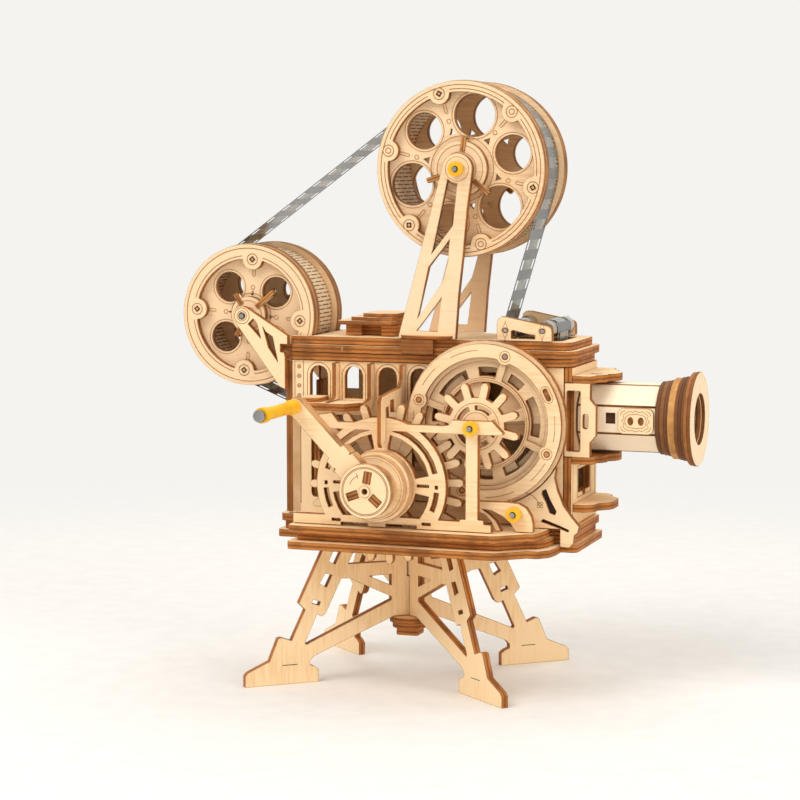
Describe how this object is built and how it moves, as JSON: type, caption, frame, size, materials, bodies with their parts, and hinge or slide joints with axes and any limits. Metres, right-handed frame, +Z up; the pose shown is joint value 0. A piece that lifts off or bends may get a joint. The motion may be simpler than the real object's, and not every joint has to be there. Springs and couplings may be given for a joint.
{
  "type": "film projector model",
  "caption": "Hand-cranked toy film projector of layered plywood: crank with gear train and shutter, reel tower, take-up reel, film loop, focusing lens barrel and splayed stand.",
  "frame": {"origin": "on the table, under the centre line where the two crossing stand plates meet", "axes": "+X towards the lens, +Y away from the crank side, +Z up"},
  "size_m": [0.2171, 0.1446, 0.2463],
  "materials": {
    "basswood_plywood": "matt laser-cut plywood",
    "stained_plywood": "matt dark plywood",
    "steel_rod": "satin",
    "brass_roller": "satin",
    "yellow_silicone": "soft matt",
    "grey_film": "smoky, half clear",
    "lens_glass": "clear"
  },
  "bodies": {
    "frame": {"stand_leg_a": "basswood_plywood", "stand_leg_b": "basswood_plywood", "stand_disc": "stained_plywood", "stand_nut": "stained_plywood", "base_lower": "basswood_plywood", "base_middle": "basswood_plywood", "base_upper": "basswood_plywood", "front_wall": "basswood_plywood", "back_wall": "basswood_plywood", "left_wall": "basswood_plywood", "right_wall": "basswood_plywood", "deck_cornice": "basswood_plywood", "deck_lower": "basswood_plywood", "deck_upper": "basswood_plywood", "tower_front": "basswood_plywood", "tower_back": "basswood_plywood", "reel_arm_front": "basswood_plywood", "reel_arm_back": "basswood_plywood", "ring_back": "basswood_plywood", "ring_front": "basswood_plywood", "crank_arch": "basswood_plywood", "hook_plate": "basswood_plywood", "front_shelf": "basswood_plywood", "lower_bracket": "basswood_plywood", "corner_gusset": "basswood_plywood", "roller_cheek_front": "basswood_plywood", "roller_cheek_back": "basswood_plywood", "lamp_housing": "basswood_plywood", "lens_bracket": "basswood_plywood", "lens_shelf": "basswood_plywood", "lens_tube": "basswood_plywood", "film_strip": "grey_film", "film_gate": "stained_plywood"},
    "lens": {"lens_barrel": "basswood_plywood", "lens_glass": "lens_glass"},
    "crank": {"crank_shaft": "steel_rod", "crank_gear": "basswood_plywood", "crank_hub": "basswood_plywood", "crank_arm": "basswood_plywood", "handle_pin": "steel_rod"},
    "handle": {"handle_grip": "yellow_silicone"},
    "shutter": {"shutter_shaft": "steel_rod", "pinion_gear": "basswood_plywood", "shutter_disc": "basswood_plywood", "shutter_cap": "yellow_silicone"},
    "sprocket": {"lower_roller": "steel_rod", "lower_cap": "yellow_silicone"},
    "guide_left": {"guide_roller_left": "brass_roller"},
    "guide_right": {"guide_roller_right": "brass_roller"},
    "feed_reel": {"upper_reel_front": "basswood_plywood", "upper_reel_back": "basswood_plywood", "upper_reel_drum": "basswood_plywood", "upper_reel_axle": "steel_rod", "upper_reel_cap": "yellow_silicone"},
    "take_up_reel": {"take_up_front": "basswood_plywood", "take_up_back": "basswood_plywood", "take_up_drum": "basswood_plywood", "take_up_axle": "steel_rod"}
  },
  "joints": [
    {"name": "crank_spin", "type": "hinge", "parent": "frame", "child": "crank", "pos_m": [0.0026, 0, 0.0856], "axis": [0, 1, 0], "continuous": true},
    {"name": "handle_spin", "type": "hinge", "parent": "crank", "child": "handle", "pos_m": [-0.02819, 0, 0.11759], "axis": [0, 1, 0], "continuous": true},
    {"name": "shutter_spin", "type": "hinge", "parent": "frame", "child": "shutter", "pos_m": [0.04047, 0, 0.10991], "axis": [0, 1, 0], "continuous": true},
    {"name": "sprocket_spin", "type": "hinge", "parent": "frame", "child": "sprocket", "pos_m": [0.0563, 0, 0.07575], "axis": [0, 1, 0], "continuous": true},
    {"name": "guide_left_spin", "type": "hinge", "parent": "frame", "child": "guide_left", "pos_m": [0.0467, 0, 0.1468], "axis": [0, 1, 0], "continuous": true},
    {"name": "guide_right_spin", "type": "hinge", "parent": "frame", "child": "guide_right", "pos_m": [0.062, 0, 0.1468], "axis": [0, 1, 0], "continuous": true},
    {"name": "feed_reel_spin", "type": "hinge", "parent": "frame", "child": "feed_reel", "pos_m": [0.0269, 0, 0.2109], "axis": [0, 1, 0], "continuous": true},
    {"name": "take_up_spin", "type": "hinge", "parent": "frame", "child": "take_up_reel", "pos_m": [-0.0657, 0, 0.1503], "axis": [0, 1, 0], "continuous": true},
    {"name": "lens_focus", "type": "slide", "parent": "frame", "child": "lens", "axis": [1, 0, 0], "range_m": [0, 0.005]}
  ],
  "couplings": [
    {"joint": "shutter_spin", "follows": "crank_spin", "ratio": -2},
    {"joint": "feed_reel_spin", "follows": "crank_spin", "ratio": 0.36145},
    {"joint": "take_up_spin", "follows": "crank_spin", "ratio": 0.43796},
    {"joint": "guide_left_spin", "follows": "crank_spin", "ratio": -3.2432},
    {"joint": "guide_right_spin", "follows": "crank_spin", "ratio": 3.2432},
    {"joint": "sprocket_spin", "follows": "crank_spin", "ratio": 2.449}
  ]
}
